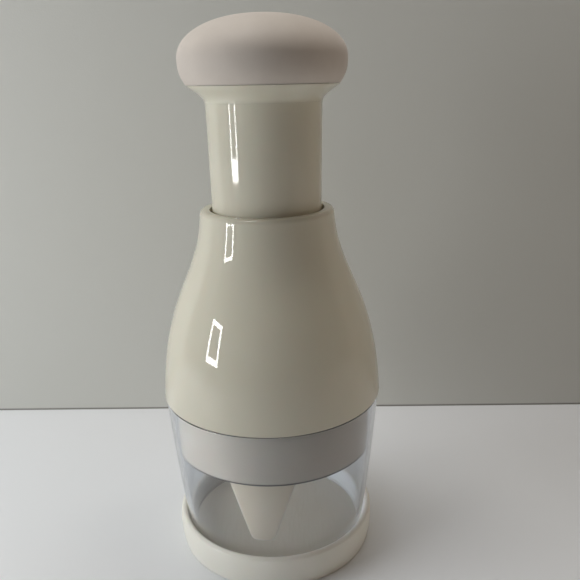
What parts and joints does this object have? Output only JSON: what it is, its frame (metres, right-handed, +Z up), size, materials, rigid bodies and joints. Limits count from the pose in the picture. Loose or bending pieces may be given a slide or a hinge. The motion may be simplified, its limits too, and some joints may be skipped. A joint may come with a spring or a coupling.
{
  "type": "manual food chopper",
  "caption": "Hand-struck food chopper: a knob on a sprung plunger drives a zigzag blade through a slotted wiper into a clear cup that stands in a shallow dish.",
  "frame": {"origin": "middle of the foot circle, on the table", "axes": "+Z up along the plunger's axis; the front of the picture is -Y and the viewer's right is +X"},
  "size_m": [0.0996, 0.0996, 0.2384],
  "materials": {
    "white_satin": "satin moulded white plastic",
    "white_gloss": "polished moulded white plastic",
    "soft_touch": "matt soft-touch overmoulding",
    "clear_plastic": "polished clear plastic",
    "grey_satin": "satin moulded light grey plastic",
    "guide_plastic": "natural acetal, satin",
    "dark_rubber": "matt",
    "pale_rubber": "matt",
    "polished_steel": "fine-ground stainless steel",
    "zinc_steel": "zinc plated",
    "spring_steel": "drawn spring wire"
  },
  "bodies": {
    "base": {"base_dish": "white_satin", "base_grip_ring": "pale_rubber"},
    "cup": {"cup": "clear_plastic"},
    "housing": {"bell_housing": "white_gloss", "collar": "grey_satin", "wiper_retainer": "grey_satin", "spring_plate": "guide_plastic", "plate_screw_1": "zinc_steel", "plate_screw_2": "zinc_steel", "plate_screw_3": "zinc_steel", "plate_screw_4": "zinc_steel", "guide_tube": "guide_plastic", "index_nut": "guide_plastic", "nut_retainer": "zinc_steel", "lower_spring_washer": "zinc_steel", "return_spring": "spring_steel"},
    "plunger": {"plunger_sleeve": "white_gloss", "stroke_bumper": "dark_rubber", "knob_base": "white_gloss", "knob_core": "white_satin", "knob_cap": "soft_touch", "knob_screw_1": "zinc_steel", "knob_screw_2": "zinc_steel", "knob_screw_3": "zinc_steel", "upper_spring_cup": "zinc_steel", "plunger_rod": "polished_steel", "rod_nut": "zinc_steel", "rod_end_washer": "zinc_steel", "rod_end_screw": "zinc_steel"},
    "blade": {"blade_carrier": "grey_satin", "index_tube": "guide_plastic", "zigzag_blade": "polished_steel"},
    "wiper": {"wiper": "grey_satin"}
  },
  "joints": [
    {"name": "cup_lift", "type": "slide", "parent": "base", "child": "cup", "axis": [0, 0, 1], "range_m": [0, 0.03]},
    {"name": "head_lift", "type": "slide", "parent": "cup", "child": "housing", "axis": [0, 0, 1], "range_m": [0, 0.06]},
    {"name": "plunger_press", "type": "slide", "parent": "housing", "child": "plunger", "axis": [0, 0, -1], "range_m": [0, 0.043], "stiffness_N_per_m": 400, "springref_m": -0.02, "deforming": ["return_spring"]},
    {"name": "blade_turn", "type": "hinge", "parent": "plunger", "child": "blade", "pos_m": [0, 0, 0.1], "axis": [0, 0, -1], "range_deg": [0, 36.5]},
    {"name": "wiper_turn", "type": "hinge", "parent": "housing", "child": "wiper", "pos_m": [0, 0, 0.0547], "axis": [0, 0, -1], "range_deg": [0, 36.5]}
  ],
  "couplings": [
    {"joint": "blade_turn", "follows": "plunger_press", "rad_per_m": 14.612},
    {"joint": "wiper_turn", "follows": "plunger_press", "rad_per_m": 14.612}
  ]
}
